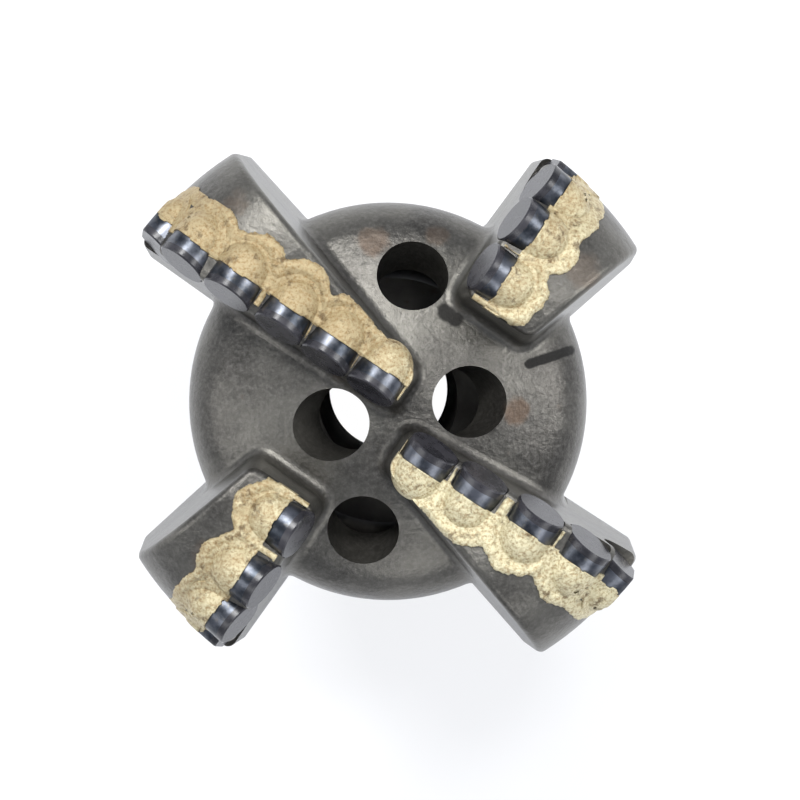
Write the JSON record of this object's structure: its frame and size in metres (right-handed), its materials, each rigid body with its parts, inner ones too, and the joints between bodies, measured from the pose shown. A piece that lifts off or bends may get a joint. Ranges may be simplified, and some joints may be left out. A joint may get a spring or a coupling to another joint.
{
  "type": "pdc drill bit",
  "caption": "Fixed-cutter rock drill bit: domed crown with radial wings of brazed diamond cutters, slanted water holes, welded collar with wrench flats, tapered pin.",
  "frame": {"origin": "centre of the pin's flat end face, on the rotation axis", "axes": "+Z along the rotation axis towards the cutting face; +X towards the side of the upper right and lower right wings, +Y towards the far side as laid down"},
  "size_m": [0.1306, 0.1306, 0.2103],
  "materials": {
    "crown_steel": "cast alloy steel, heat-darkened semi-gloss, light rust stains",
    "pin_steel": "turned alloy steel",
    "weld_metal": "weld bead, heat-tinted",
    "braze": "pale silver-brass braze with flux residue",
    "carbide": "ground tungsten carbide",
    "diamond": null
  },
  "bodies": {
    "root": {"crown_body": "crown_steel", "pin_shank": "pin_steel", "weld_ring": "weld_metal", "braze_a": "braze", "gauge_inserts_a": "carbide", "carbide_a1": "carbide", "diamond_a1": "diamond", "carbide_a2": "carbide", "diamond_a2": "diamond", "carbide_a3": "carbide", "diamond_a3": "diamond", "carbide_a4": "carbide", "diamond_a4": "diamond", "carbide_a5": "carbide", "diamond_a5": "diamond", "carbide_a6": "carbide", "diamond_a6": "diamond", "braze_b": "braze", "gauge_inserts_b": "carbide", "carbide_b1": "carbide", "diamond_b1": "diamond", "carbide_b2": "carbide", "diamond_b2": "diamond", "carbide_b3": "carbide", "diamond_b3": "diamond", "carbide_b4": "carbide", "diamond_b4": "diamond", "braze_c": "braze", "gauge_inserts_c": "carbide", "carbide_c1": "carbide", "diamond_c1": "diamond", "carbide_c2": "carbide", "diamond_c2": "diamond", "carbide_c3": "carbide", "diamond_c3": "diamond", "carbide_c4": "carbide", "diamond_c4": "diamond", "carbide_c5": "carbide", "diamond_c5": "diamond", "braze_d": "braze", "gauge_inserts_d": "carbide", "carbide_d1": "carbide", "diamond_d1": "diamond", "carbide_d2": "carbide", "diamond_d2": "diamond", "carbide_d3": "carbide", "diamond_d3": "diamond", "carbide_d4": "carbide", "diamond_d4": "diamond"}
  },
  "joints": []
}
